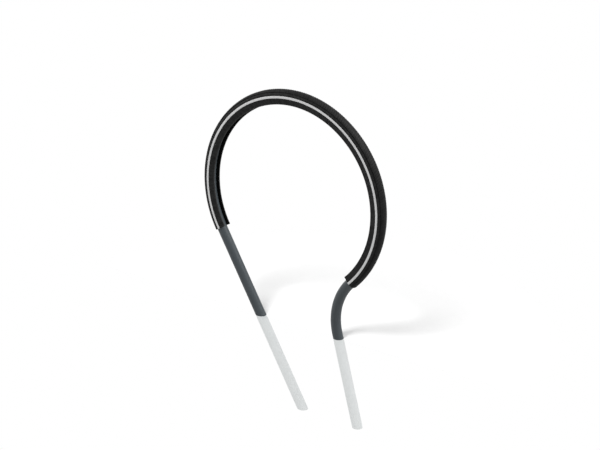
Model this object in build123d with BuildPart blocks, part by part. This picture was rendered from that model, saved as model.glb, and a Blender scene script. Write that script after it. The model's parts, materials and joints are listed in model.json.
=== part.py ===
"""Bike rack: a bent steel tube loop with a bicycle-tyre cover, on two legs that are cast into the ground.

Millimetres. The loop lies in the XZ plane and its front faces -Y. Z = 0 is ground level, and the origin is
on the ground straight below the centre of the loop. The left leg stands at -X and the right leg at +X.
"""

import math
import os

from build123d import *

os.makedirs("parts", exist_ok=True)

# Steel tube
tube_diameter = 33.7
tube_wall = 2.6

# Centre line of the frame, from the left foot round the loop to the right foot
loop_radius = 330.8
left_lean = 30.0
right_loop_end = 45.0
s_bend_radius = 200.0
right_lean = 15.0
right_straight_run = 16.0
ground_depth = 300.0

# Sleeves inside the tube joints
sleeve_wall = 3.0
sleeve_clearance = 0.2
sleeve_grip = 45.0
sleeve_bend_margin = 2.0

# How far the tyre reaches past the loop's right joint
tyre_overhang = 1.6

# Tyre casing, in section: r points away from the loop's centre, y to the sides
tube_clearance = 0.5
side_wall = 1.95
crown_wall = 1.85
crown_flat = 3.4
lip_reach = 8.85
mouth_width = 24.0
bead_thickness = 3.4
lip_round = 1.2

# Bonding strip between the tube and the casing, in a recess of the crown, with a film of glue on both faces
strip_thickness = 0.6
strip_half_angle = 30.0
strip_edge_angle = 2.0
strip_glue_film = 0.45

# Tread, bonded on the crown of the casing
tread_glue_film = 0.1
tread_crown_thickness = 2.0
tread_edge_thickness = 1.1
tread_edge_angle = 50.0

# Reflective bands, set in shallow grooves of the sidewalls
band_width = 7.5
band_thickness = 0.5
band_margin = 0.95
groove_depth = 0.35
groove_clearance = 0.1

# Bead wires inside the lips
bead_wire_diameter = 1.6
bead_wire_clearance = 0.05
bead_wire_depth = 2.3

# Sizes worked out from the values above
tube_radius = tube_diameter / 2
bore_radius = tube_radius - tube_wall
sleeve_radius = bore_radius - sleeve_clearance
sleeve_bore_radius = sleeve_radius - sleeve_wall
loop_sweep = 180.0 + left_lean + right_loop_end
tyre_sweep = loop_sweep + math.degrees(tyre_overhang / loop_radius)
s_bend_sweep = right_loop_end + right_lean
right_loop_drop = loop_radius * math.sin(math.radians(right_loop_end))
s_bend_drop = s_bend_radius * (
    math.sin(math.radians(right_loop_end)) + math.sin(math.radians(right_lean))
)
straight_drop = right_straight_run * math.cos(math.radians(right_lean))
loop_height = right_loop_drop + s_bend_drop + straight_drop

casing_inner_radius = tube_radius + tube_clearance
strip_inner_radius = tube_radius + strip_glue_film
strip_outer_radius = strip_inner_radius + strip_thickness
recess_radius = strip_outer_radius + strip_glue_film
recess_half_angle = strip_half_angle + strip_edge_angle
side_y = casing_inner_radius + side_wall
crown_r = casing_inner_radius + crown_wall
shoulder_radius = side_y - crown_flat
flat_top_r = crown_r - shoulder_radius
band_mid_r = flat_top_r - band_margin - band_width / 2
flat_bottom_r = band_mid_r - band_width / 2 - groove_clearance
band_inner_y = side_y - groove_depth
lip_r = tube_radius + lip_reach
lip_inner_y = mouth_width / 2
lip_outer_y = lip_inner_y + bead_thickness


def loop_end_plane(angle):
    """Plane across the tube at an angle on the loop: local x points outwards, local y to the back."""
    outward = Vector(math.cos(math.radians(angle)), 0, math.sin(math.radians(angle)))
    return Plane(Vector(0, 0, loop_height) + outward * loop_radius, outward, outward.cross(Vector(0, 1, 0)))


def leg_ground_plane(top, direction):
    """Plane across a straight leg where its centre line meets the ground, looking down the leg."""
    return Plane(top - direction * (top.Z / direction.Z), (0, 1, 0), direction)


# Reference planes and axes
left_loop_plane = loop_end_plane(180.0 + left_lean)
right_loop_plane = loop_end_plane(-right_loop_end)
loop_axis = Axis((0, 0, loop_height), (0, 1, 0))
loop_axis_back = Axis((0, 0, loop_height), (0, -1, 0))
s_bend_center = right_loop_plane.origin + right_loop_plane.x_dir * s_bend_radius
s_bend_axis = Axis(s_bend_center, (0, -1, 0))
right_down = Vector(math.sin(math.radians(right_lean)), 0, -math.cos(math.radians(right_lean)))
s_bend_spoke = Vector(-math.cos(math.radians(right_lean)), 0, -math.sin(math.radians(right_lean)))
right_straight_plane = Plane(s_bend_center + s_bend_spoke * s_bend_radius, (0, 1, 0), right_down)
left_ground_plane = leg_ground_plane(left_loop_plane.origin, left_loop_plane.z_dir)
right_ground_plane = leg_ground_plane(right_straight_plane.origin, right_down)
buried_end_plane = Plane.XY.offset(-ground_depth)
left_run = (left_ground_plane.origin - left_loop_plane.origin).length

# A leg tube is made this much longer than its run and then cut level
level_cut_spare = tube_diameter


# Frame tubes above the ground
with BuildPart() as loop_tube:
    with BuildSketch(left_loop_plane):
        Circle(tube_radius)
        Circle(bore_radius, mode=Mode.SUBTRACT)
    revolve(axis=loop_axis, revolution_arc=loop_sweep)
loop_tube.part.label = "loop_tube"
export_step(loop_tube.part, "parts/loop_tube.step")

with BuildPart() as left_leg_tube:
    with BuildSketch(left_loop_plane):
        Circle(tube_radius)
        Circle(bore_radius, mode=Mode.SUBTRACT)
    extrude(amount=left_run + level_cut_spare)
    split(bisect_by=Plane.XY, keep=Keep.TOP)
left_leg_tube.part.label = "left_leg_tube"
export_step(left_leg_tube.part, "parts/left_leg_tube.step")

with BuildPart() as right_leg_tube:
    with BuildSketch(right_loop_plane):
        Circle(tube_radius)
        Circle(bore_radius, mode=Mode.SUBTRACT)
    revolve(axis=s_bend_axis, revolution_arc=s_bend_sweep)
    with BuildSketch(right_straight_plane):
        Circle(tube_radius)
        Circle(bore_radius, mode=Mode.SUBTRACT)
    extrude(amount=right_straight_run + level_cut_spare)
    split(bisect_by=Plane.XY, keep=Keep.TOP)
right_leg_tube.part.label = "right_leg_tube"
export_step(right_leg_tube.part, "parts/right_leg_tube.step")


# Ground tubes, cut level at the ground and at the buried end
with BuildPart() as left_ground_tube:
    with BuildSketch(left_ground_plane.offset(-level_cut_spare)):
        Circle(tube_radius)
        Circle(bore_radius, mode=Mode.SUBTRACT)
    extrude(amount=ground_depth / math.cos(math.radians(left_lean)) + 2 * level_cut_spare)
    split(bisect_by=Plane.XY, keep=Keep.BOTTOM)
    split(bisect_by=buried_end_plane, keep=Keep.TOP)
left_ground_tube.part.label = "left_ground_tube"
export_step(left_ground_tube.part, "parts/left_ground_tube.step")

with BuildPart() as right_ground_tube:
    with BuildSketch(right_ground_plane.offset(-level_cut_spare)):
        Circle(tube_radius)
        Circle(bore_radius, mode=Mode.SUBTRACT)
    extrude(amount=ground_depth / math.cos(math.radians(right_lean)) + 2 * level_cut_spare)
    split(bisect_by=Plane.XY, keep=Keep.BOTTOM)
    split(bisect_by=buried_end_plane, keep=Keep.TOP)
right_ground_tube.part.label = "right_ground_tube"
export_step(right_ground_tube.part, "parts/right_ground_tube.step")


# Sleeves across the two loop joints, bent like the tubes that they join
with BuildPart() as left_loop_sleeve:
    with BuildSketch(left_loop_plane):
        Circle(sleeve_radius)
        Circle(sleeve_bore_radius, mode=Mode.SUBTRACT)
    revolve(axis=loop_axis, revolution_arc=math.degrees(sleeve_grip / loop_radius))
    with BuildSketch(left_loop_plane):
        Circle(sleeve_radius)
        Circle(sleeve_bore_radius, mode=Mode.SUBTRACT)
    extrude(amount=sleeve_grip)
left_loop_sleeve.part.label = "left_loop_sleeve"
export_step(left_loop_sleeve.part, "parts/left_loop_sleeve.step")

with BuildPart() as right_loop_sleeve:
    with BuildSketch(right_loop_plane):
        Circle(sleeve_radius)
        Circle(sleeve_bore_radius, mode=Mode.SUBTRACT)
    revolve(axis=loop_axis_back, revolution_arc=math.degrees(sleeve_grip / loop_radius))
    with BuildSketch(right_loop_plane):
        Circle(sleeve_radius)
        Circle(sleeve_bore_radius, mode=Mode.SUBTRACT)
    revolve(axis=s_bend_axis, revolution_arc=math.degrees(sleeve_grip / s_bend_radius))
right_loop_sleeve.part.label = "right_loop_sleeve"
export_step(right_loop_sleeve.part, "parts/right_loop_sleeve.step")


# Sleeves across the two ground joints, which stop short of the right leg's bend
ground_sleeve_rise = right_straight_run - sleeve_bend_margin

with BuildPart() as left_ground_sleeve:
    with BuildSketch(left_ground_plane.offset(-ground_sleeve_rise)):
        Circle(sleeve_radius)
        Circle(sleeve_bore_radius, mode=Mode.SUBTRACT)
    extrude(amount=ground_sleeve_rise + sleeve_grip)
left_ground_sleeve.part.label = "left_ground_sleeve"
export_step(left_ground_sleeve.part, "parts/left_ground_sleeve.step")

with BuildPart() as right_ground_sleeve:
    with BuildSketch(right_ground_plane.offset(-ground_sleeve_rise)):
        Circle(sleeve_radius)
        Circle(sleeve_bore_radius, mode=Mode.SUBTRACT)
    extrude(amount=ground_sleeve_rise + sleeve_grip)
right_ground_sleeve.part.label = "right_ground_sleeve"
export_step(right_ground_sleeve.part, "parts/right_ground_sleeve.step")


# Where the straight inside of a lip leaves the round inside of the casing
lip_distance = math.hypot(lip_r, lip_inner_y)
lip_direction = math.degrees(math.atan2(lip_inner_y, -lip_r))
lip_leave_angle = lip_direction - math.degrees(math.acos(casing_inner_radius / lip_distance))

# Bead wire place, midway between the two faces of a lip
lip_inner_slope = (casing_inner_radius * math.sin(math.radians(lip_leave_angle)) - lip_inner_y) / (
    casing_inner_radius * math.cos(math.radians(lip_leave_angle)) + lip_r
)
lip_outer_slope = (side_y - lip_outer_y) / (flat_bottom_r + lip_r)
wire_r = -lip_r + bead_wire_depth
wire_y = (lip_inner_y + lip_outer_y + bead_wire_depth * (lip_inner_slope + lip_outer_slope)) / 2


# Tyre casing: a C-section shell, open to the inside of the loop
with BuildPart() as tyre_casing:
    with BuildSketch(left_loop_plane):
        with BuildLine():
            recess = CenterArc((0, 0), recess_radius, 0, recess_half_angle)
            inside = CenterArc(
                (0, 0), casing_inner_radius, recess_half_angle, lip_leave_angle - recess_half_angle
            )
            Line(recess @ 1, inside @ 0)
            Polyline(
                inside @ 1,
                (-lip_r, lip_inner_y),
                (-lip_r, lip_outer_y),
                (flat_bottom_r, side_y),
                (flat_top_r, side_y),
            )
            CenterArc((flat_top_r, crown_flat), shoulder_radius, 0, 90)
            Line((crown_r, crown_flat), (crown_r, 0))
            mirror(about=Plane.XZ)
        casing_face = make_face()
        fillet(casing_face.vertices().group_by(Axis.X)[0], radius=lip_round)
        with Locations((band_mid_r, side_y), (band_mid_r, -side_y)):
            Rectangle(band_width + 2 * groove_clearance, 2 * groove_depth, mode=Mode.SUBTRACT)
        with Locations((wire_r, wire_y), (wire_r, -wire_y)):
            Circle(bead_wire_diameter / 2 + bead_wire_clearance, mode=Mode.SUBTRACT)
    revolve(axis=loop_axis, revolution_arc=tyre_sweep)
tyre_casing.part.label = "tyre_casing"
export_step(tyre_casing.part, "parts/tyre_casing.step")


# Tread: a cap on the casing's crown, thinner at its edges
tread_foot_r = crown_r + tread_glue_film
tread_foot_radius = shoulder_radius + tread_glue_film
tread_edge_radius = tread_foot_radius + tread_edge_thickness
edge_r = math.cos(math.radians(tread_edge_angle))
edge_y = math.sin(math.radians(tread_edge_angle))
edge_foot = (flat_top_r + tread_foot_radius * edge_r, crown_flat + tread_foot_radius * edge_y)
edge_top = (flat_top_r + tread_edge_radius * edge_r, crown_flat + tread_edge_radius * edge_y)
edge_top_front = (edge_top[0], -edge_top[1])

with BuildPart() as tyre_tread:
    with BuildSketch(left_loop_plane):
        with BuildLine():
            Line((tread_foot_r, 0), (tread_foot_r, crown_flat))
            CenterArc((flat_top_r, crown_flat), tread_foot_radius, 0, tread_edge_angle)
            Line(edge_foot, edge_top)
            mirror(about=Plane.XZ)
            ThreePointArc(edge_top, (tread_foot_r + tread_crown_thickness, 0), edge_top_front)
        make_face()
    revolve(axis=loop_axis, revolution_arc=tyre_sweep)
tyre_tread.part.label = "tyre_tread"
export_step(tyre_tread.part, "parts/tyre_tread.step")


# Reflective bands
band_mid_y = band_inner_y + band_thickness / 2

with BuildPart() as front_reflective_band:
    with BuildSketch(left_loop_plane):
        with Locations((band_mid_r, -band_mid_y)):
            Rectangle(band_width, band_thickness)
    revolve(axis=loop_axis, revolution_arc=tyre_sweep)
front_reflective_band.part.label = "front_reflective_band"
export_step(front_reflective_band.part, "parts/front_reflective_band.step")

with BuildPart() as back_reflective_band:
    with BuildSketch(left_loop_plane):
        with Locations((band_mid_r, band_mid_y)):
            Rectangle(band_width, band_thickness)
    revolve(axis=loop_axis, revolution_arc=tyre_sweep)
back_reflective_band.part.label = "back_reflective_band"
export_step(back_reflective_band.part, "parts/back_reflective_band.step")


# Bead wires
with BuildPart() as front_bead_wire:
    with BuildSketch(left_loop_plane):
        with Locations((wire_r, -wire_y)):
            Circle(bead_wire_diameter / 2)
    revolve(axis=loop_axis, revolution_arc=tyre_sweep)
front_bead_wire.part.label = "front_bead_wire"
export_step(front_bead_wire.part, "parts/front_bead_wire.step")

with BuildPart() as back_bead_wire:
    with BuildSketch(left_loop_plane):
        with Locations((wire_r, wire_y)):
            Circle(bead_wire_diameter / 2)
    revolve(axis=loop_axis, revolution_arc=tyre_sweep)
back_bead_wire.part.label = "back_bead_wire"
export_step(back_bead_wire.part, "parts/back_bead_wire.step")


# Bonding strip in the crown's recess
with BuildPart() as bonding_strip:
    with BuildSketch(left_loop_plane):
        with BuildLine():
            under = CenterArc((0, 0), strip_inner_radius, -strip_half_angle, 2 * strip_half_angle)
            over = CenterArc((0, 0), strip_outer_radius, -strip_half_angle, 2 * strip_half_angle)
            Line(under @ 0, over @ 0)
            Line(under @ 1, over @ 1)
        make_face()
    revolve(axis=loop_axis, revolution_arc=tyre_sweep)
bonding_strip.part.label = "bonding_strip"
export_step(bonding_strip.part, "parts/bonding_strip.step")
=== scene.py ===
"""Bike rack: tube frame, tyre cover and reflective bands, with their finishes and a plain studio."""

import json
import math

import bmesh
import bpy
from bpy.props import FloatProperty, FloatVectorProperty, PointerProperty
from mathutils import Matrix, Vector


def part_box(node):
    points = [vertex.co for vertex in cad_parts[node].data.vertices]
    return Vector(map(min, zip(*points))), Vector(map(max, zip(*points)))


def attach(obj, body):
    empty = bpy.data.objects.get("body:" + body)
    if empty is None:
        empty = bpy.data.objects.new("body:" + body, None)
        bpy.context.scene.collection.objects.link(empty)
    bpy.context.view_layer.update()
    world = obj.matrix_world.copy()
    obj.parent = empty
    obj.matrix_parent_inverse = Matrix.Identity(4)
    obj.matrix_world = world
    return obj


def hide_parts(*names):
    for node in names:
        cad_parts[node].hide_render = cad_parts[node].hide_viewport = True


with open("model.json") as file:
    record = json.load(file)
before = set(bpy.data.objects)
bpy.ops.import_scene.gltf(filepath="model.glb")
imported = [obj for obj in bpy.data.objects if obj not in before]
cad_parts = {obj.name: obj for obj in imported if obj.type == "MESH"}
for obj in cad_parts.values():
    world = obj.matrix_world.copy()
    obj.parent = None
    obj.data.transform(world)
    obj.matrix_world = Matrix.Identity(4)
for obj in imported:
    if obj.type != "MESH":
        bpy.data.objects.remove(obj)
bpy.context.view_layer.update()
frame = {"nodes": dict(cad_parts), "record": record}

bl_info = {
    "name": "Bike rack",
    "version": (1, 0, 0),
    "blender": (4, 5, 0),
    "location": "3D View > Sidebar > Bike rack",
    "description": "Dresses a tube bike rack with a tyre cover and shows it in a plain studio",
    "category": "Object",
}

# What the frame says about the rack
LOOP_TUBE_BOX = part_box("loop_tube")
CASING_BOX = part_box("tyre_casing")
TREAD_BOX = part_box("tyre_tread")
BAND_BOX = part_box("back_reflective_band")
LEFT_GROUND_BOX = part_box("left_ground_tube")
MOUNTS = {mount["name"]: mount for mount in frame["record"]["mounts"]}
STRAIGHT_DOWN = Vector((0, 0, -1))
LEFT_LEAN = Vector(MOUNTS["left_ground_leg"]["axis"]).angle(STRAIGHT_DOWN)
RIGHT_LEAN = Vector(MOUNTS["right_ground_leg"]["axis"]).angle(STRAIGHT_DOWN)
TUBE_RADIUS = MOUNTS["left_ground_leg"]["dims"]["r_mm"] / 1000
LOOP_RADIUS = LOOP_TUBE_BOX[1].x - TUBE_RADIUS
LOOP_HEIGHT = LOOP_TUBE_BOX[1].z - LOOP_TUBE_BOX[1].x

# How finely round shapes are divided
TUBE_SIDES = 64
LOOP_STEPS = 255
S_BEND_STEPS = 60
SHOULDER_STEPS = 8
INSIDE_STEPS = 6
LIP_STEPS = 3
EDGE_STEPS = 2
TREAD_STEPS = 9
UNDER_TREAD_STEPS = 4
BAND_STRETCHES = 15

# Rings of points to a rib, how many of them lie in its groove, and ribs to a stretch of the tyre
RINGS_PER_RIB = 4
GROOVE_RINGS = 2
RIBS_PER_STRETCH = 6

# Where the lines of a sidewall lie between the lip and the band, as shares of the way up
FLANK_SHARES = (0.06, 0.1, 0.3, 0.5, 0.7, 0.95)

# How strongly the tread's edge is ribbed, next to 1 for its top
TREAD_EDGE_RELIEF = 0.3

# Points closer than this are one, and section points closer than this to the middle line lie on it
WELD_DISTANCE = 1e-6
MIDDLE_DISTANCE = 1e-9

# Edges that turn more than this stay sharp
SHARP_ANGLE = math.radians(40)

# Materials of the casing, in their order: outside, inside with a darker black as painted shade, and lips
# with a paler grey as a painted highlight
OUTSIDE, LINER_SHADE, LIP_HIGHLIGHT = range(3)

# Faces turned to the tube by more than this, as a cosine, get the darker black that is painted shade inside
# the tyre
LINER_SHADE_FACING = 0.5

# Share of the way up the sky over which the light from below turns into the light from above
HORIZON_BLEND = 0.05

# Rays for which the floor and the background are white
SEEN_RAYS = ("Camera", "Glossy", "Transmission")

# Image width that the camera is set for, in pixels, and the sensor's width, in millimetres
IMAGE_WIDTH = 600
SENSOR_WIDTH = 36.0

WHITE = (1.0, 1.0, 1.0, 1.0)


# Kinds of settings
def length_setting(name, description, default):
    """A length, in metres."""
    return FloatProperty(name=name, description=description, default=default, unit="LENGTH")


def angle_setting(name, description, default):
    """An angle, which the panel shows in degrees."""
    return FloatProperty(name=name, description=description, default=default, subtype="ANGLE")


def colour_setting(name, description, default):
    """A colour of a finish."""
    return FloatVectorProperty(name=name, description=description, default=default, subtype="COLOR")


# Settings that a user would change
class FrameSizes(bpy.types.PropertyGroup):
    """Sizes of the steel tube frame."""

    tube_radius: length_setting("Tube radius", "Outside radius of the tube", TUBE_RADIUS)
    tube_wall: length_setting("Tube wall", "Thickness of the tube's wall", 0.0026)
    loop_radius: length_setting("Loop radius", "Radius of the loop's centre line", LOOP_RADIUS)
    loop_height: length_setting("Loop height", "Height of the loop's centre", LOOP_HEIGHT)
    left_loop_end: angle_setting(
        "Left loop end", "How far below level the loop goes before the straight left leg", LEFT_LEAN
    )
    right_loop_end: angle_setting(
        "Right loop end", "How far below level the loop goes before the right leg's bend", math.radians(45)
    )
    s_bend_radius: length_setting("Leg bend radius", "Radius of the right leg's bend", 0.2)
    right_lean: angle_setting("Right lean", "Lean of the right leg's foot from the vertical", RIGHT_LEAN)
    ground_depth: length_setting(
        "Ground depth", "How deep the legs go into the ground", -LEFT_GROUND_BOX[0].z
    )
    cut_edge: length_setting("Cut edge", "Round on the buried ends' edges", 0.0005)


class TyreSizes(bpy.types.PropertyGroup):
    """Sizes of the tyre cover, in its section: up is away from the loop's centre."""

    overhang: length_setting("Overhang", "How far the tyre reaches past the loop's right end", 0.0016)
    side: length_setting("Half width", "From the middle to the sidewall", CASING_BOX[1].y)
    crown: length_setting(
        "Crown", "From the tube's centre to the casing's crown", CASING_BOX[1].x - LOOP_RADIUS
    )
    crown_flat: length_setting("Crown flat", "Half width of the flat under the tread", 0.0034)
    tube_clearance: length_setting("Tube clearance", "Room between the tube and the casing", 0.0005)
    lip_drop: length_setting("Lip drop", "From the tube's centre down to the lips", 0.0257)
    mouth: length_setting("Half mouth", "Half of the opening between the lips", 0.012)
    bead: length_setting("Bead thickness", "Thickness of each lip", 0.0034)
    lip_round: length_setting("Lip round", "Round on the lips' edges", 0.0012)
    # The paler strip along the lips is a painted highlight on their rounded edges
    lip_highlight_strip: length_setting("Lip strip", "Height of the paler strip along the lips", 0.0024)
    tread_crown: length_setting(
        "Tread crown", "From the tube's centre to the top of the tread", TREAD_BOX[1].x - LOOP_RADIUS
    )
    tread_edge_angle: angle_setting(
        "Tread edge", "Angle on the shoulder, from the crown, where the tread ends", math.radians(50)
    )
    tread_edge: length_setting("Tread edge thickness", "Height of the tread's edges", 0.0012)
    edge_groove_width: length_setting("Edge groove width", "Groove beside the tread's edges", 0.0026)
    edge_groove_depth: length_setting("Edge groove depth", "Depth of that groove", 0.0009)
    side_rib_pitch: length_setting("Side rib pitch", "Distance from rib to rib on the sidewalls", 0.005)
    tread_rib_pitch: length_setting("Tread rib pitch", "Distance from rib to rib on the tread", 0.008)
    rib_lean: angle_setting("Rib lean", "How far the ribs lean from straight across", math.radians(20))
    rib_lean_fade: length_setting(
        "Rib lean fade", "Length at the tyre's ends over which the ribs straighten", 0.06
    )
    side_rib_depth: length_setting("Side rib depth", "Depth between the sidewall's ribs", 0.0003)
    tread_rib_depth: length_setting("Tread rib depth", "Depth between the tread's ribs", 0.00045)
    band_width: length_setting("Band width", "Width of the reflective bands", 0.0075)
    band_top: length_setting(
        "Band top", "From the tube's centre to the bands' outer edge", BAND_BOX[1].x - LOOP_RADIUS
    )
    band_thickness: length_setting(
        "Band thickness", "Thickness of the reflective bands", BAND_BOX[1].y - BAND_BOX[0].y
    )
    band_round: length_setting("Band edge round", "Round on the bands' edges", 0.00014)
    groove_clearance: length_setting(
        "Groove clearance", "Room beside the bands in their grooves", 0.0001
    )


class RackColours(bpy.types.PropertyGroup):
    """Colours of the rack's finishes."""

    powder_coat: colour_setting("Powder coat", "Blue grey of the legs", (0.038, 0.0465, 0.052))
    zinc_primer: colour_setting("Zinc primer", "Pale grey of the buried ends", (0.70, 0.72, 0.72))
    sidewall: colour_setting("Sidewall", "Black of the tyre's sides", (0.012, 0.012, 0.012))
    tread: colour_setting("Tread", "Black of the tread", (0.006, 0.006, 0.006))
    # A darker black than the sidewall's, painted shade inside the tyre
    liner_shade: colour_setting("Liner", "Black inside the tyre", (0.004, 0.004, 0.004))
    # A paler grey than the sidewall's, a painted highlight along the lips' rounded edges
    lip: colour_setting("Lips", "Dark grey along the tyre's lips", (0.034, 0.034, 0.034))
    film: colour_setting("Reflective film", "Pale grey of the bands", (0.62, 0.62, 0.62))
    steel: colour_setting("Steel", "Bare steel inside the joints", (0.45, 0.45, 0.46))
    bead_wire: colour_setting("Bead wire", "Drawn wire in the lips", (0.5, 0.47, 0.42))
    bonding_rubber: colour_setting("Bonding rubber", "Strip under the crown", (0.03, 0.03, 0.03))


class StageSettings(bpy.types.PropertyGroup):
    """Camera, floor and light."""

    azimuth: angle_setting("Azimuth", "Camera to the right of the front", math.radians(35.263))
    elevation: angle_setting("Elevation", "Camera above the horizon", math.radians(20.731))
    roll: angle_setting("Roll", "Turn of the camera about its axis", math.radians(0.296))
    distance: length_setting("Distance", "From the camera to its target", 4.172)
    focal_pixels: FloatProperty(
        name="Focal length in pixels", description="Focal length on the image's scale", default=1309.2
    )
    target_right: length_setting("Target right", "Target to the right of the loop's centre", 0.02593)
    target_up: length_setting("Target up", "Target above the loop's centre", -0.08784)
    sky: FloatProperty(name="Sky", description="Strength of the light from above", default=0.6)
    bounce: FloatProperty(name="Bounce", description="Strength of the light from below", default=0.85)
    sun: FloatProperty(name="Floor sun", description="Strength of the floor's light", default=2.45)
    sun_angle: angle_setting("Sun size", "Angle of the sun, for a soft shadow", math.radians(19))
    sun_travel: FloatVectorProperty(
        name="Sun direction",
        description="Way that the sun's light travels",
        default=(0.15, 0.68, -1.0),
        subtype="DIRECTION",
    )
    right_box: FloatProperty(
        name="Right softbox", description="Power of the panel on the right", default=116.0, unit="POWER"
    )
    right_box_place: FloatVectorProperty(
        name="Right softbox place",
        description="Where the panel on the right hangs",
        default=(1.6, 0.45, 2.7),
        subtype="TRANSLATION",
    )
    left_box: FloatProperty(
        name="Left softbox", description="Power of the panel on the left", default=54.0, unit="POWER"
    )
    left_box_place: FloatVectorProperty(
        name="Left softbox place",
        description="Where the panel on the left hangs",
        default=(-2.4, -1.5, 2.2),
        subtype="TRANSLATION",
    )
    ground_box: FloatProperty(
        name="Ground softbox", description="Power of the panel below the ground", default=4.0, unit="POWER"
    )
    ground_box_place: FloatVectorProperty(
        name="Ground softbox place",
        description="Where the panel below the ground hangs",
        default=(2.0, 0.2, -0.3),
        subtype="TRANSLATION",
    )
    box_width: length_setting("Softbox width", "Width of all panels", 1.4)
    box_height: length_setting("Softbox height", "Height of all panels", 1.8)
    floor_size: length_setting("Floor size", "Width of the floor", 24.0)
    floor_white: FloatProperty(
        name="Floor white", description="White of the floor for the camera and in reflections", default=0.9
    )
    floor_grey: FloatProperty(
        name="Floor grey", description="Grey of the floor for the light that it throws back", default=0.42
    )
    floor_fade: length_setting(
        "Floor fade", "Depth over which the ground clears at the rack, to show the buried ends", 0.003
    )
    floor_cover: FloatProperty(
        name="Floor cover",
        description="How much the ground behind the rack hides what is under it",
        default=0.65,
        subtype="FACTOR",
        min=0,
        max=1,
    )
    floor_glow: FloatProperty(
        name="Floor glow",
        description="Strength of the light from the ground's underside, for the buried ends",
        default=0.26,
        min=0,
    )
    floor_reach: length_setting(
        "Floor reach", "How far the shadow is shown before the ground clears to white", 0.9
    )


class RackSettings(bpy.types.PropertyGroup):
    """All settings of the rack."""

    frame: PointerProperty(type=FrameSizes)
    tyre: PointerProperty(type=TyreSizes)
    colours: PointerProperty(type=RackColours)
    stage: PointerProperty(type=StageSettings)


# Places on the centre line
def spoke(angle):
    """Direction from the loop's centre at an angle above level."""
    return Vector((math.cos(angle), 0, math.sin(angle)))


def loop_place(frame_sizes, angle):
    """Point of the loop's centre line at an angle above level."""
    return loop_centre(frame_sizes) + spoke(angle) * frame_sizes.loop_radius


def loop_centre(frame_sizes):
    """Centre of the loop."""
    return Vector((0, 0, frame_sizes.loop_height))


def loop_span(frame_sizes):
    """Angle at the left end of the loop, and the whole angle round to its right end."""
    start = math.pi + frame_sizes.left_loop_end
    return start, start + frame_sizes.right_loop_end


def tyre_span(frame_sizes, tyre):
    """Angle at the left end of the tyre, and the whole angle round to its right end."""
    start, sweep = loop_span(frame_sizes)
    return start, sweep + tyre.overhang / frame_sizes.loop_radius


def section_plane(origin, outward):
    """Matrix of a plane across the tube: its x points outwards and its y to the back."""
    back = Vector((0, 1, 0))
    axes = Matrix((outward, back, outward.cross(back))).transposed()
    return Matrix.Translation(origin) @ axes.to_4x4()


# Mesh helpers
def with_borders(faces):
    """Faces with their edges and their vertices."""
    edges = {edge for face in faces for edge in face.edges}
    verts = {vert for face in faces for vert in face.verts}
    return [*faces, *edges, *verts]


def kept(geom, kind):
    """The items of one kind in an operator's result."""
    return [item for item in geom if isinstance(item, kind)]


def close_ends(bm):
    """Fills the open ends of a mesh."""
    bmesh.ops.holes_fill(bm, edges=[edge for edge in bm.edges if edge.is_boundary], sides=0)


def finish_piece(name, bm, materials, slot, *nodes):
    """Turns a bmesh into a piece that rides on the rack and stands for its CAD nodes."""
    bmesh.ops.remove_doubles(bm, verts=bm.verts, dist=WELD_DISTANCE)
    bmesh.ops.recalc_face_normals(bm, faces=bm.faces)
    for face in bm.faces:
        face.smooth = True
    for edge in bm.edges:
        edge.smooth = not edge.is_manifold or edge.calc_face_angle() < SHARP_ANGLE
    mesh = bpy.data.meshes.new(name)
    bm.to_mesh(mesh)
    bm.free()
    for material in materials:
        mesh.materials.append(material)
    piece = bpy.data.objects.new(name, mesh)
    bpy.context.scene.collection.objects.link(piece)
    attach(piece, "root")
    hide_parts(*nodes)


# Node helpers
def new_finish(name):
    """A node material with its tree and its shader."""
    material = bpy.data.materials.new(name)
    material.use_nodes = True
    return material, material.node_tree, material.node_tree.nodes["Principled BSDF"]


def link_finish(tree, shader, colour, roughness, normal, specular=0.5):
    """Links a finish's colour, roughness and normal to its shader, and sets how strongly it reflects."""
    tree.links.new(colour, shader.inputs["Base Color"])
    tree.links.new(roughness, shader.inputs["Roughness"])
    tree.links.new(normal, shader.inputs["Normal"])
    shader.inputs["Specular IOR Level"].default_value = specular


def add_node(tree, kind, inputs=None, **settings):
    """Adds a node, sets its settings and the values of its named inputs."""
    node = tree.nodes.new(kind)
    for name, value in settings.items():
        setattr(node, name, value)
    for name, value in (inputs or {}).items():
        node.inputs[name].default_value = value
    return node


def object_coordinates(tree):
    """Socket of the piece's own coordinates, in metres."""
    return add_node(tree, "ShaderNodeTexCoord").outputs["Object"]


def add_attribute(tree, name):
    """Socket of one of the tyre's own values along its mesh."""
    return add_node(tree, "ShaderNodeAttribute", attribute_name=name).outputs["Fac"]


def add_math(tree, operation, first, second):
    """Socket of the sum, product or larger of two sockets, or of a socket and a number."""
    node = add_node(tree, "ShaderNodeMath", operation=operation)
    for value, entry in zip((first, second), node.inputs):
        if isinstance(value, bpy.types.NodeSocket):
            tree.links.new(value, entry)
        else:
            entry.default_value = value
    return node.outputs["Value"]


def add_noise(tree, vector, scale, detail=2.0, roughness=0.5):
    """Socket of a noise pattern with about that many lumps to a metre."""
    noise = add_node(
        tree, "ShaderNodeTexNoise", {"Scale": scale, "Detail": detail, "Roughness": roughness}
    )
    tree.links.new(vector, noise.inputs["Vector"])
    return noise.outputs["Fac"]


def add_range(tree, value, low, high, from_low=0.0, from_high=1.0):
    """Socket that takes a value from one range to another."""
    node = add_node(
        tree,
        "ShaderNodeMapRange",
        {"From Min": from_low, "From Max": from_high, "To Min": low, "To Max": high},
    )
    tree.links.new(value, node.inputs["Value"])
    return node.outputs["Result"]


def add_step(tree, value, from_low, from_high):
    """Socket that rises smoothly from 0 to 1 between two values."""
    node = add_node(
        tree,
        "ShaderNodeMapRange",
        {"From Min": from_low, "From Max": from_high},
        interpolation_type="SMOOTHSTEP",
    )
    tree.links.new(value, node.inputs["Value"])
    return node.outputs["Result"]


def add_larger(tree, first, *others):
    """Socket of the largest of some values."""
    for other in others:
        first = add_math(tree, "MAXIMUM", first, other)
    return first


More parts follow.
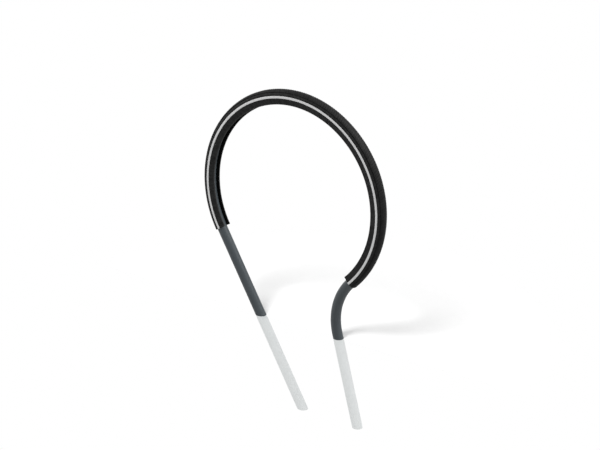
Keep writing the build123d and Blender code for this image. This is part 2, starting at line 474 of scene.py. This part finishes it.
def add_tint(tree, colour, value, dark, light):
    """Socket of a colour that goes from dark to light times itself as a value goes from 0 to 1."""
    ramp = add_node(tree, "ShaderNodeMix", data_type="RGBA")
    ramp.inputs["A"].default_value = [min(1.0, dark * channel) for channel in colour] + [1.0]
    ramp.inputs["B"].default_value = [min(1.0, light * channel) for channel in colour] + [1.0]
    tree.links.new(value, ramp.inputs["Factor"])
    return ramp.outputs["Result"]


def add_bump(tree, height, distance, strength):
    """Socket of a normal that is pushed about by a height pattern."""
    bump = add_node(tree, "ShaderNodeBump", {"Distance": distance, "Strength": strength})
    tree.links.new(height, bump.inputs["Height"])
    return bump.outputs["Normal"]


# Finishes
def powder_coat_finish(colour):
    """Satin powder coat with a fine orange peel."""
    material, tree, shader = new_finish("powder_coat")
    place = object_coordinates(tree)
    cloud = add_noise(tree, place, scale=22.0, detail=3.0)
    grain = add_noise(tree, place, scale=850.0)
    link_finish(
        tree,
        shader,
        colour=add_tint(tree, colour, cloud, dark=0.9, light=1.1),
        roughness=add_range(tree, cloud, low=0.40, high=0.52),
        normal=add_bump(tree, grain, distance=0.00006, strength=0.5),
        specular=0.35,
    )
    return material


def zinc_primer_finish(colour):
    """Matt pale zinc primer with a faint spangle and brushed clouds."""
    material, tree, shader = new_finish("zinc_primer")
    place = object_coordinates(tree)
    spangle = add_node(tree, "ShaderNodeTexVoronoi", {"Scale": 130.0, "Randomness": 1.0})
    tree.links.new(place, spangle.inputs["Vector"])
    cell = add_node(tree, "ShaderNodeRGBToBW")
    tree.links.new(spangle.outputs["Color"], cell.inputs["Color"])
    cloud = add_noise(tree, place, scale=30.0, detail=4.0, roughness=0.6)
    grain = add_noise(tree, place, scale=600.0, detail=3.0)
    cell_share = add_range(tree, cell.outputs["Val"], low=0.0, high=0.4)
    cloud_share = add_range(tree, cloud, low=0.0, high=0.6)
    mottle = add_math(tree, "ADD", cell_share, cloud_share)
    link_finish(
        tree,
        shader,
        colour=add_tint(tree, colour, mottle, dark=0.955, light=1.045),
        roughness=add_range(tree, cell.outputs["Val"], low=0.5, high=0.62),
        normal=add_bump(tree, grain, distance=0.00005, strength=0.4),
        specular=0.3,
    )
    return material


def rubber_finish(name, colour, specular, contrast):
    """Matt black rubber: streaks that run with the ribs, rib tops paler and grooves darker as painted light
    and shade, a faint bloom in the roughness and a fine grain.
    """
    material, tree, shader = new_finish(name)
    place = object_coordinates(tree)
    bloom = add_noise(tree, place, scale=40.0, detail=4.0, roughness=0.6)
    grain = add_noise(tree, place, scale=1400.0, detail=3.0, roughness=0.6)
    streak_place = add_node(tree, "ShaderNodeCombineXYZ")
    for axis, attribute, scale in (("X", "along", 150.0), ("Y", "across", 45.0)):
        scaled = add_math(tree, "MULTIPLY", add_attribute(tree, attribute), scale)
        tree.links.new(scaled, streak_place.inputs[axis])
    streak = add_noise(tree, streak_place.outputs["Vector"], scale=1.0)
    streak_share = add_range(tree, streak, low=0.0, high=0.7, from_low=0.28, from_high=0.72)
    # Painted shade and highlight: grooves and faces without ribs come out darker, rib tops paler
    rib_light_share = add_range(tree, add_attribute(tree, "relief"), low=0.0, high=0.3)
    streaks_and_rib_shade = add_math(tree, "ADD", streak_share, rib_light_share)
    link_finish(
        tree,
        shader,
        colour=add_tint(tree, colour, streaks_and_rib_shade, dark=1 - contrast, light=1 + contrast),
        roughness=add_range(tree, bloom, low=0.52, high=0.66),
        normal=add_bump(tree, grain, distance=0.00008, strength=0.6),
        specular=specular,
    )
    return material


def bonding_finish(colour):
    """Soft bonding rubber with a mottled, slightly tacky face."""
    material, tree, shader = new_finish("bonding_rubber")
    place = object_coordinates(tree)
    mottle = add_noise(tree, place, scale=120.0, detail=3.0, roughness=0.6)
    grain = add_noise(tree, place, scale=900.0)
    link_finish(
        tree,
        shader,
        colour=add_tint(tree, colour, mottle, dark=0.7, light=1.3),
        roughness=add_range(tree, mottle, low=0.45, high=0.65),
        normal=add_bump(tree, grain, distance=0.00008, strength=0.5),
    )
    return material


def film_finish(colour):
    """Reflective film: pale grey with a fine bead grain and small cells."""
    material, tree, shader = new_finish("reflective_film")
    place = object_coordinates(tree)
    cells = add_node(tree, "ShaderNodeTexVoronoi", {"Scale": 900.0}, feature="DISTANCE_TO_EDGE")
    tree.links.new(place, cells.inputs["Vector"])
    cloud = add_noise(tree, place, scale=60.0, detail=3.0)
    link_finish(
        tree,
        shader,
        colour=add_tint(tree, colour, cloud, dark=0.95, light=1.05),
        roughness=add_range(tree, cloud, low=0.3, high=0.42),
        normal=add_bump(tree, cells.outputs["Distance"], distance=0.00004, strength=0.5),
    )
    return material


def metal_finish(name, colour, grain_scale, smoothest, roughest):
    """Bare drawn or turned metal with a fine grain."""
    material, tree, shader = new_finish(name)
    grain = add_noise(tree, object_coordinates(tree), grain_scale, detail=4.0, roughness=0.65)
    link_finish(
        tree,
        shader,
        colour=add_tint(tree, colour, grain, dark=0.8, light=1.2),
        roughness=add_range(tree, grain, smoothest, roughest),
        normal=add_bump(tree, grain, distance=0.00003, strength=0.5),
    )
    shader.inputs["Metallic"].default_value = 1.0
    return material


# Tubes
def start_tube(bm, sizes, plane):
    """Adds the ring-shaped section of a tube on a plane across it and returns its faces."""
    radii = (sizes.tube_radius, sizes.tube_radius - sizes.tube_wall)
    outer, inner = (
        bmesh.ops.create_circle(bm, segments=TUBE_SIDES, radius=radius, matrix=plane)["verts"]
        for radius in radii
    )
    return [bm.faces.new((outer[i - 1], outer[i], inner[i], inner[i - 1])) for i in range(TUBE_SIDES)]


def bend_tube(bm, section, centre, axis, angle, steps):
    """Carries a tube's section round a bend and returns the last section's faces."""
    geom = with_borders(section)
    bent = bmesh.ops.spin(bm, geom=geom, cent=centre, axis=axis, angle=angle, steps=steps, use_merge=False)
    return kept(bent["geom_last"], bmesh.types.BMFace)


def run_tube(bm, section, travel):
    """Carries a tube's section straight on and returns the last section's faces."""
    run = bmesh.ops.extrude_face_region(bm, geom=with_borders(section))
    bmesh.ops.translate(bm, verts=kept(run["geom"], bmesh.types.BMVert), vec=travel)
    return kept(run["geom"], bmesh.types.BMFace)


def level_end(section, down, height):
    """Slides an end of a straight tube along it, until its cut is level at a height."""
    for vert in {vert for face in section for vert in face.verts}:
        vert.co += down * ((vert.co.z - height) / -down.z)


def rim_of(section):
    """Edges where a section meets the tube's walls."""
    inside = set(section)
    return [edge for face in section for edge in face.edges if not inside.issuperset(edge.link_faces)]


def make_loop_tube(sizes, material):
    """The round part of the frame, under the tyre."""
    start, sweep = loop_span(sizes)
    bm = bmesh.new()
    section = start_tube(bm, sizes, section_plane(loop_place(sizes, start), spoke(start)))
    bend_tube(bm, section, loop_centre(sizes), (0, 1, 0), sweep, LOOP_STEPS)
    finish_piece("loop_tube_coated", bm, [material], "powder_coat", "loop_tube")


def left_leg_line(sizes):
    """Top of the straight left leg, the direction across it and its direction down."""
    top_angle = math.pi + sizes.left_loop_end
    down = Vector((math.sin(sizes.left_loop_end), 0, -math.cos(sizes.left_loop_end)))
    return loop_place(sizes, top_angle), spoke(top_angle), down


def right_bend(sizes):
    """Where the right leg's bend starts, the direction away from the loop there, and the bend's centre."""
    outward = spoke(-sizes.right_loop_end)
    joint = loop_place(sizes, -sizes.right_loop_end)
    return joint, outward, joint + outward * sizes.s_bend_radius


def right_leg_line(sizes):
    """Where the right leg's bend ends, the direction across it and its direction down."""
    bend_centre = right_bend(sizes)[2]
    inward = spoke(math.pi + sizes.right_lean)
    down = Vector((math.sin(sizes.right_lean), 0, -math.cos(sizes.right_lean)))
    return bend_centre + inward * sizes.s_bend_radius, inward, down


def make_left_leg(sizes, material):
    """The straight leg above the ground."""
    top, outward, down = left_leg_line(sizes)
    bm = bmesh.new()
    section = start_tube(bm, sizes, section_plane(top, outward))
    foot = run_tube(bm, section, down * (top.z / -down.z))
    level_end(foot, down, 0.0)
    finish_piece("left_leg_coated", bm, [material], "powder_coat", "left_leg_tube")


def make_right_leg(sizes, material):
    """The leg with the bend, above the ground."""
    joint, outward, bend_centre = right_bend(sizes)
    bend_end, _, down = right_leg_line(sizes)
    bm = bmesh.new()
    section = start_tube(bm, sizes, section_plane(joint, outward))
    turn = sizes.right_loop_end + sizes.right_lean
    bent = bend_tube(bm, section, bend_centre, (0, -1, 0), turn, S_BEND_STEPS)
    foot = run_tube(bm, bent, down * (bend_end.z / -down.z))
    level_end(foot, down, 0.0)
    finish_piece("right_leg_coated", bm, [material], "powder_coat", "right_leg_tube")


def make_ground_tube(name, node, line, sizes, material):
    """A leg's straight length in the ground, cut level at both ends."""
    place, outward, down = line
    bm = bmesh.new()
    top = start_tube(bm, sizes, section_plane(place + down * (place.z / -down.z), outward))
    end = run_tube(bm, top, down * (sizes.ground_depth / -down.z))
    level_end(top, down, 0.0)
    level_end(end, down, -sizes.ground_depth)
    bm.normal_update()
    bmesh.ops.bevel(
        bm,
        geom=rim_of(end),
        offset=sizes.cut_edge,
        affect="EDGES",
        segments=EDGE_STEPS,
        profile=0.5,
        material=-1,
    )
    finish_piece(name, bm, [material], "zinc_primer", node)


# Tyre sections
def arc(centre, radius, start, end, steps):
    """Points of an arc in a section, with angles from the crown towards the side."""
    angles = [start + (end - start) * step / steps for step in range(steps + 1)]
    return [(centre[0] + radius * math.cos(a), centre[1] + radius * math.sin(a)) for a in angles]


def both_sides(half):
    """A whole section from its half, which runs from the middle line to the middle line."""
    mirrored = [(up, -out, relief) for up, out, relief in reversed(half)]
    return half + [point for point in mirrored if abs(point[1]) > MIDDLE_DISTANCE]


def with_relief(points, relief):
    """Section points that all carry ribs of one strength."""
    return [(up, out, relief) for up, out in points]


def line_points(start, end, shares):
    """Points at some shares of the way along a straight stretch of a section."""
    return [(start[0] + (end[0] - start[0]) * s, start[1] + (end[1] - start[1]) * s) for s in shares]


def shoulder_centre(tyre):
    """Centre of the casing's round shoulder, in its section, and the shoulder's radius."""
    radius = tyre.side - tyre.crown_flat
    return (tyre.crown - radius, tyre.crown_flat), radius


def band_centre(tyre):
    """Middle of a reflective band, up from the tube's centre."""
    return tyre.band_top - tyre.band_width / 2


def casing_section(sizes, tyre):
    """Half of the casing's outline: inside, lip, sidewall with the band's groove, shoulder and crown."""
    inner = sizes.tube_radius + tyre.tube_clearance
    lip_far = math.hypot(tyre.lip_drop, tyre.mouth)
    leave = math.atan2(tyre.mouth, -tyre.lip_drop) - math.acos(inner / lip_far)
    inside = arc((0, 0), inner, 0, leave, INSIDE_STEPS)

    lip_inner = (-tyre.lip_drop, tyre.mouth)
    lip_outer = (-tyre.lip_drop, tyre.mouth + tyre.bead)
    lip_low = tyre.lip_round - tyre.lip_drop
    lip = arc((lip_low, lip_inner[1] + tyre.lip_round), tyre.lip_round, 1.5 * math.pi, math.pi, LIP_STEPS)
    lip += arc((lip_low, lip_outer[1] - tyre.lip_round), tyre.lip_round, math.pi, 0.5 * math.pi, LIP_STEPS)

    centre, shoulder = shoulder_centre(tyre)
    groove_half = tyre.band_width / 2 + tyre.groove_clearance
    groove_low = band_centre(tyre) - groove_half
    groove_high = band_centre(tyre) + groove_half
    groove_floor = BAND_BOX[0].y
    flank = line_points(lip[-1], (groove_low, tyre.side), FLANK_SHARES)
    groove = [
        (groove_low, tyre.side),
        (groove_low, groove_floor),
        (groove_high, groove_floor),
        (groove_high, tyre.side),
    ]

    groove_end = tyre.tread_edge_angle + tyre.edge_groove_width / shoulder
    rise = arc(centre, shoulder, 0.5 * math.pi, groove_end, SHOULDER_STEPS)
    sunk = arc(centre, shoulder - tyre.edge_groove_depth, groove_end, tyre.tread_edge_angle, EDGE_STEPS)
    under = arc(centre, shoulder, tyre.tread_edge_angle, 0, UNDER_TREAD_STEPS)
    crown = [(tyre.crown, 0.0)]
    return (
        with_relief(inside, 0.0)
        + with_relief(lip, 0.0)
        + with_relief(flank[:1], 0.0)
        + with_relief(flank[1:], 1.0)
        + with_relief(groove + rise[:1], 0.0)
        + with_relief(rise[1:-1], 1.0)
        + with_relief(rise[-1:] + sunk + under + crown, 0.0)
    )


def tread_section(tyre):
    """Half of the tread's outline: foot on the casing, edge and rounded top."""
    centre, shoulder = shoulder_centre(tyre)
    edge_angle = tyre.tread_edge_angle
    foot = arc(centre, shoulder, 0, edge_angle, UNDER_TREAD_STEPS)
    edge_radius = shoulder + tyre.tread_edge
    edge_up = centre[0] + edge_radius * math.cos(edge_angle)
    edge_out = centre[1] + edge_radius * math.sin(edge_angle)
    rise = tyre.tread_crown - edge_up
    top_radius = (edge_out ** 2 + rise ** 2) / (2 * rise)
    top_turn = math.asin(edge_out / top_radius)
    top = arc((tyre.tread_crown - top_radius, 0), top_radius, top_turn, 0, TREAD_STEPS)
    return (
        with_relief([(tyre.crown, 0.0)] + foot, 0.0)
        + with_relief(top[:1], TREAD_EDGE_RELIEF)
        + with_relief(top[1:], 1.0)
    )


def band_section(tyre):
    """Whole outline of the back reflective band, with rounded outer edges."""
    middle = band_centre(tyre)
    half = tyre.band_width / 2
    floor = BAND_BOX[0].y
    face = floor + tyre.band_thickness
    edge = tyre.band_round
    upper = arc((middle + half - edge, face - edge), edge, 0, 0.5 * math.pi, EDGE_STEPS)
    lower = arc((middle - half + edge, face - edge), edge, 0.5 * math.pi, math.pi, EDGE_STEPS)
    return with_relief([(middle - half, floor), (middle + half, floor)] + upper + lower, 0.0)


def ring_section(bm, sizes, tyre, section, stretches, steps):
    """Carries a section round the loop in equal stretches, and keeps how strongly its lines are ribbed."""
    start, sweep = tyre_span(sizes, tyre)
    centre = loop_centre(sizes)
    axis = (0, 1, 0)
    turn = sweep / stretches
    plane = section_plane(loop_place(sizes, start), spoke(start))
    relief_layer = bm.verts.layers.float.new("relief")
    across_layer = bm.verts.layers.float.new("across")
    verts = []
    across = 0.0
    for index, (up, out, relief) in enumerate(section):
        if index:
            across += math.hypot(up - section[index - 1][0], out - section[index - 1][1])
        vert = bm.verts.new(plane @ Vector((up, out, 0)))
        vert[relief_layer] = relief
        vert[across_layer] = across
        verts.append(vert)
    edges = [bm.edges.new((verts[i - 1], verts[i])) for i in range(len(verts))]
    bmesh.ops.spin(bm, geom=verts + edges, cent=centre, axis=axis, angle=turn, steps=steps, use_merge=False)
    stretch = bm.verts[:] + bm.edges[:] + bm.faces[:]
    rest = sweep - turn
    bmesh.ops.spin(
        bm, geom=stretch, cent=centre, axis=axis, angle=rest, steps=stretches - 1, use_duplicate=True
    )
    bmesh.ops.remove_doubles(bm, verts=bm.verts, dist=WELD_DISTANCE)
    bmesh.ops.recalc_face_normals(bm, faces=bm.faces)
    return relief_layer, across_layer, across


def ribbed_ring(bm, sizes, tyre, section, pitch, depth):
    """Carries a section round the loop with ribs of a pitch and depth."""
    stretches = round(tyre_span(sizes, tyre)[1] * sizes.loop_radius / (pitch * RIBS_PER_STRETCH))
    rings = RIBS_PER_STRETCH * RINGS_PER_RIB
    layers = ring_section(bm, sizes, tyre, section, stretches, rings)
    cut_ribs(bm, sizes, tyre, layers, stretches * rings, depth)


def cut_ribs(bm, sizes, tyre, layers, rings, depth):
    """Sinks the grooves between the ribs, leans the ribs and marks their tops."""
    relief_layer, across_layer, across_whole = layers
    start, sweep = tyre_span(sizes, tyre)
    ring_turn = sweep / rings
    centre = loop_centre(sizes)
    fade_turn = tyre.rib_lean_fade / sizes.loop_radius
    along_layer = bm.verts.layers.float.new("along")
    ribbed = [vert[across_layer] for vert in bm.verts if vert[relief_layer] > 0]
    first_rib, last_rib = min(ribbed), max(ribbed)
    bm.normal_update()
    for vert in bm.verts:
        place = vert.co - centre
        turned = (start - math.atan2(place.z, place.x)) % math.tau
        turned = 0.0 if turned > math.tau - ring_turn / 2 else turned
        ring = round(turned / ring_turn)
        sunk = ring % RINGS_PER_RIB < GROOVE_RINGS
        strength = vert[relief_layer]
        if sunk:
            vert.co -= vert.normal * depth * strength
        from_end = min(turned, sweep - turned) / fade_turn
        # On the side without ribs the lean goes back to nothing, where the section's ends meet
        across = vert[across_layer]
        from_seam = min(across / first_rib, (across_whole - across) / (across_whole - last_rib))
        lean = math.tan(tyre.rib_lean) * (across - across_whole / 2) / sizes.loop_radius
        turn = Matrix.Rotation(lean * min(1.0, from_end) * min(1.0, from_seam), 4, "Y")
        vert.co = centre + turn @ (vert.co - centre)
        vert[relief_layer] = 0.0 if sunk else strength
        vert[along_layer] = turned * sizes.loop_radius
    close_ends(bm)


def mark_surfaces(bm, sizes, tyre):
    """Gives the faces that look at the tube a darker black, painted shade inside the tyre, and the lips a
    paler grey, a painted highlight.
    """
    centre = loop_centre(sizes)
    lip_reach = sizes.loop_radius - tyre.lip_drop + tyre.lip_highlight_strip
    bmesh.ops.recalc_face_normals(bm, faces=bm.faces)
    for face in bm.faces:
        place = face.calc_center_median()
        arm = Vector((place.x, 0, place.z - centre.z))
        to_tube = centre + arm.normalized() * sizes.loop_radius - place
        if arm.length < lip_reach:
            face.material_index = LIP_HIGHLIGHT
        elif face.normal.dot(to_tube.normalized()) > LINER_SHADE_FACING:
            face.material_index = LINER_SHADE
        else:
            face.material_index = OUTSIDE


# Operators
class RACK_OT_frame_tubes(bpy.types.Operator):
    """Builds the loop and both legs above the ground"""

    bl_idname = "rack.frame_tubes"
    bl_label = "Frame tubes"

    def execute(self, context):
        settings = context.scene.bike_rack
        coat = powder_coat_finish(settings.colours.powder_coat)
        make_loop_tube(settings.frame, coat)
        make_left_leg(settings.frame, coat)
        make_right_leg(settings.frame, coat)
        return {"FINISHED"}


class RACK_OT_ground_tubes(bpy.types.Operator):
    """Builds the ends of both legs that go into the ground"""

    bl_idname = "rack.ground_tubes"
    bl_label = "Ground tubes"

    def execute(self, context):
        settings = context.scene.bike_rack
        sizes = settings.frame
        primer = zinc_primer_finish(settings.colours.zinc_primer)
        make_ground_tube("left_ground_end", "left_ground_tube", left_leg_line(sizes), sizes, primer)
        make_ground_tube("right_ground_end", "right_ground_tube", right_leg_line(sizes), sizes, primer)
        return {"FINISHED"}


class RACK_OT_tyre_casing(bpy.types.Operator):
    """Builds the tyre's casing with its ribbed sidewalls"""

    bl_idname = "rack.tyre_casing"
    bl_label = "Tyre casing"

    def execute(self, context):
        settings = context.scene.bike_rack
        sizes, tyre = settings.frame, settings.tyre
        bm = bmesh.new()
        section = both_sides(casing_section(sizes, tyre))
        ribbed_ring(bm, sizes, tyre, section, tyre.side_rib_pitch, tyre.side_rib_depth)
        mark_surfaces(bm, sizes, tyre)
        materials = [
            # The inside is painted darker as shade, and the lips paler as a highlight
            rubber_finish("sidewall_rubber", settings.colours.sidewall, specular=0.09, contrast=0.9),
            rubber_finish("tyre_liner_shade", settings.colours.liner_shade, specular=0.1, contrast=0.4),
            rubber_finish("lip_highlight_rubber", settings.colours.lip, specular=0.09, contrast=0.4),
        ]
        finish_piece("tyre_casing_ribbed", bm, materials, "sidewall_rubber", "tyre_casing")
        return {"FINISHED"}


class RACK_OT_tyre_tread(bpy.types.Operator):
    """Builds the tread with its cross ribs"""

    bl_idname = "rack.tyre_tread"
    bl_label = "Tyre tread"

    def execute(self, context):
        settings = context.scene.bike_rack
        sizes, tyre = settings.frame, settings.tyre
        bm = bmesh.new()
        section = both_sides(tread_section(tyre))
        ribbed_ring(bm, sizes, tyre, section, tyre.tread_rib_pitch, tyre.tread_rib_depth)
        rubber = rubber_finish("tread_rubber", settings.colours.tread, specular=0.09, contrast=1.0)
        finish_piece("tyre_tread_ribbed", bm, [rubber], "tread_rubber", "tyre_tread")
        return {"FINISHED"}


class RACK_OT_reflective_bands(bpy.types.Operator):
    """Builds the reflective bands on both sidewalls"""

    bl_idname = "rack.reflective_bands"
    bl_label = "Reflective bands"

    def execute(self, context):
        settings = context.scene.bike_rack
        sizes, tyre = settings.frame, settings.tyre
        film = film_finish(settings.colours.film)
        for side, facing in (("front", -1), ("back", 1)):
            bm = bmesh.new()
            section = [(up, facing * out, relief) for up, out, relief in band_section(tyre)]
            ring_section(bm, sizes, tyre, section, BAND_STRETCHES, LOOP_STEPS // BAND_STRETCHES)
            close_ends(bm)
            finish_piece(f"{side}_band_film", bm, [film], "reflective_film", f"{side}_reflective_band")
        return {"FINISHED"}


class RACK_OT_hidden_pieces(bpy.types.Operator):
    """Finishes the joint sleeves, the bead wires and the bonding strip"""

    bl_idname = "rack.hidden_pieces"
    bl_label = "Hidden pieces"

    def execute(self, context):
        colours = context.scene.bike_rack.colours
        finishes = {
            "sleeve": metal_finish(
                "bare_steel", colours.steel, grain_scale=900.0, smoothest=0.32, roughest=0.52
            ),
            "bead_wire": metal_finish(
                "bead_steel", colours.bead_wire, grain_scale=1600.0, smoothest=0.25, roughest=0.45
            ),
            "bonding_strip": bonding_finish(colours.bonding_rubber),
        }
        for name, node in frame["nodes"].items():
            for ending, finish in finishes.items():
                if name.endswith(ending):
                    node.data.materials.clear()
                    node.data.materials.append(finish)
        return {"FINISHED"}


class RACK_OT_stage(bpy.types.Operator):
    """Sets up the camera, the floor and the light"""

    bl_idname = "rack.stage"
    bl_label = "Stage"

    def execute(self, context):
        settings = context.scene.bike_rack
        context.scene.view_settings.view_transform = "Standard"
        place_camera(context, settings)
        stage = settings.stage
        floor = lay_floor(context, stage)
        light_world(context, stage)
        hang_floor_sun(context, stage, light_group("lit_by_sun", floor, "INCLUDE"))
        loop = loop_centre(settings.frame)
        buried = Vector((0, 0, -settings.frame.ground_depth / 2))
        lit = light_group("lit_by_softboxes", floor, "EXCLUDE")
        for name, power, place, target in (
            ("right_softbox", stage.right_box, stage.right_box_place, loop),
            ("left_softbox", stage.left_box, stage.left_box_place, loop),
            ("ground_softbox", stage.ground_box, stage.ground_box_place, buried),
        ):
            hang_softbox(context, name, stage, power, place, target, lit)
        return {"FINISHED"}


# Stage
def place_camera(context, settings):
    """Camera at the photograph's place, with its turn and focal length."""
    stage = settings.stage
    a, e, roll = stage.azimuth, stage.elevation, stage.roll
    back = Vector((math.sin(a) * math.cos(e), -math.cos(a) * math.cos(e), math.sin(e)))
    level_right = Vector((math.cos(a), math.sin(a), 0))
    level_up = back.cross(level_right)
    right = level_right * math.cos(roll) + level_up * math.sin(roll)
    up = level_up * math.cos(roll) - level_right * math.sin(roll)
    target = loop_centre(settings.frame) + right * stage.target_right + up * stage.target_up
    camera = bpy.data.objects.new("camera", bpy.data.cameras.new("camera"))
    camera.data.sensor_width = SENSOR_WIDTH
    camera.data.lens = stage.focal_pixels / IMAGE_WIDTH * SENSOR_WIDTH
    turn = Matrix((right, up, back)).transposed().to_4x4()
    camera.matrix_world = Matrix.Translation(target + back * stage.distance) @ turn
    context.scene.collection.objects.link(camera)
    context.scene.camera = camera


def floor_finish(stage):
    """White ground that only the camera sees through, in front of the rack, where the buried ends show."""
    material, tree, shader = new_finish("floor")
    shader.inputs["Roughness"].default_value = 1.0
    shader.inputs["Specular IOR Level"].default_value = 0.0
    place = object_coordinates(tree)
    split = add_node(tree, "ShaderNodeSeparateXYZ")
    tree.links.new(place, split.inputs["Vector"])
    far = add_node(tree, "ShaderNodeVectorMath", operation="LENGTH")
    tree.links.new(place, far.inputs[0])
    behind = add_step(tree, split.outputs["Y"], 0.0, stage.floor_fade)
    beyond = add_step(tree, far.outputs["Value"], stage.floor_reach, stage.floor_reach / 2)
    shown = add_math(tree, "MULTIPLY", behind, beyond)
    path = add_node(tree, "ShaderNodeLightPath")
    below = add_node(tree, "ShaderNodeNewGeometry").outputs["Backfacing"]
    seen = add_larger(tree, below, *(path.outputs[f"Is {kind} Ray"] for kind in SEEN_RAYS))
    tree.links.new(add_range(tree, seen, stage.floor_grey, stage.floor_white), shader.inputs["Base Color"])
    shader.inputs["Emission Color"].default_value = WHITE
    tree.links.new(add_range(tree, below, 0.0, stage.floor_glow), shader.inputs["Emission Strength"])
    cover = add_node(tree, "ShaderNodeMix", {"A": 1.0})
    tree.links.new(path.outputs["Is Camera Ray"], cover.inputs["Factor"])
    tree.links.new(add_range(tree, shown, 0.0, stage.floor_cover), cover.inputs["B"])
    clear = add_node(tree, "ShaderNodeBsdfTransparent")
    mixed = add_node(tree, "ShaderNodeMixShader")
    tree.links.new(cover.outputs["Result"], mixed.inputs["Fac"])
    tree.links.new(clear.outputs["BSDF"], mixed.inputs[1])
    tree.links.new(shader.outputs["BSDF"], mixed.inputs[2])
    tree.links.new(mixed.outputs["Shader"], tree.nodes["Material Output"].inputs["Surface"])
    return material


def lay_floor(context, stage):
    """The ground that the rack stands in."""
    bm = bmesh.new()
    bmesh.ops.create_grid(bm, x_segments=1, y_segments=1, size=stage.floor_size / 2)
    mesh = bpy.data.meshes.new("floor")
    bm.to_mesh(mesh)
    bm.free()
    mesh.materials.append(floor_finish(stage))
    floor = bpy.data.objects.new("floor", mesh)
    context.scene.collection.objects.link(floor)
    return floor


def light_world(context, stage):
    """Even light from above and from below, with a white background for the camera and for reflections."""
    world = bpy.data.worlds.new("studio")
    world.use_nodes = True
    tree = world.node_tree
    sky = tree.nodes["Background"]
    sky.inputs["Color"].default_value = WHITE
    direction = add_node(tree, "ShaderNodeSeparateXYZ")
    tree.links.new(add_node(tree, "ShaderNodeTexCoord").outputs["Generated"], direction.inputs["Vector"])
    height = add_range(tree, direction.outputs["Z"], stage.bounce, stage.sky, -HORIZON_BLEND, HORIZON_BLEND)
    tree.links.new(height, sky.inputs["Strength"])
    white = add_node(tree, "ShaderNodeBackground", {"Color": WHITE, "Strength": 1.0})
    path = add_node(tree, "ShaderNodeLightPath")
    mixed = add_node(tree, "ShaderNodeMixShader")
    seen = add_larger(tree, *(path.outputs[f"Is {kind} Ray"] for kind in SEEN_RAYS))
    tree.links.new(seen, mixed.inputs["Fac"])
    tree.links.new(sky.outputs["Background"], mixed.inputs[1])
    tree.links.new(white.outputs["Background"], mixed.inputs[2])
    tree.links.new(mixed.outputs["Shader"], tree.nodes["World Output"].inputs["Surface"])
    context.scene.world = world


def hang_softbox(context, name, stage, power, place, target, lit):
    """A panel of light that faces its target and lights the rack alone."""
    panel = bpy.data.objects.new(name, bpy.data.lights.new(name, "AREA"))
    panel.data.energy = power
    panel.data.shape = "RECTANGLE"
    panel.data.size = stage.box_width
    panel.data.size_y = stage.box_height
    panel.location = place
    panel.rotation_mode = "QUATERNION"
    panel.rotation_quaternion = (target - Vector(place)).to_track_quat("-Z", "Y")
    panel.visible_camera = False
    panel.light_linking.receiver_collection = lit
    context.scene.collection.objects.link(panel)


def light_group(name, floor, state):
    """A group for lamps that light the floor alone, or all but the floor."""
    group = bpy.data.collections.new(name)
    group.objects.link(floor)
    group.collection_objects[0].light_linking.link_state = state
    return group


def hang_floor_sun(context, stage, lit):
    """A soft sun that lights the floor alone and lays the rack's shadow to the back."""
    sun = bpy.data.objects.new("floor_sun", bpy.data.lights.new("floor_sun", "SUN"))
    sun.data.energy = stage.sun
    sun.data.angle = stage.sun_angle
    sun.rotation_mode = "QUATERNION"
    sun.rotation_quaternion = Vector(stage.sun_travel).to_track_quat("-Z", "Y")
    sun.light_linking.receiver_collection = lit
    context.scene.collection.objects.link(sun)


# Sidebar
class VIEW3D_PT_bike_rack(bpy.types.Panel):
    """Lists the steps that build the rack"""

    bl_label = "Bike rack"
    bl_space_type = "VIEW_3D"
    bl_region_type = "UI"
    bl_category = "Bike rack"

    def draw(self, context):
        for operator in OPERATORS:
            self.layout.operator(operator.bl_idname)


OPERATORS = (
    RACK_OT_frame_tubes,
    RACK_OT_ground_tubes,
    RACK_OT_tyre_casing,
    RACK_OT_tyre_tread,
    RACK_OT_reflective_bands,
    RACK_OT_hidden_pieces,
    RACK_OT_stage,
)
SETTINGS = (FrameSizes, TyreSizes, RackColours, StageSettings, RackSettings)
CLASSES = SETTINGS + OPERATORS + (VIEW3D_PT_bike_rack,)


def register():
    for cls in CLASSES:
        bpy.utils.register_class(cls)
    bpy.types.Scene.bike_rack = PointerProperty(type=RackSettings)


def unregister():
    del bpy.types.Scene.bike_rack
    for cls in reversed(CLASSES):
        bpy.utils.unregister_class(cls)


def main():
    """Builds the rack and its stage."""
    register()
    bpy.ops.rack.frame_tubes()
    bpy.ops.rack.ground_tubes()
    bpy.ops.rack.tyre_casing()
    bpy.ops.rack.tyre_tread()
    bpy.ops.rack.reflective_bands()
    bpy.ops.rack.hidden_pieces()
    bpy.ops.rack.stage()


if __name__ == "__main__":
    main()
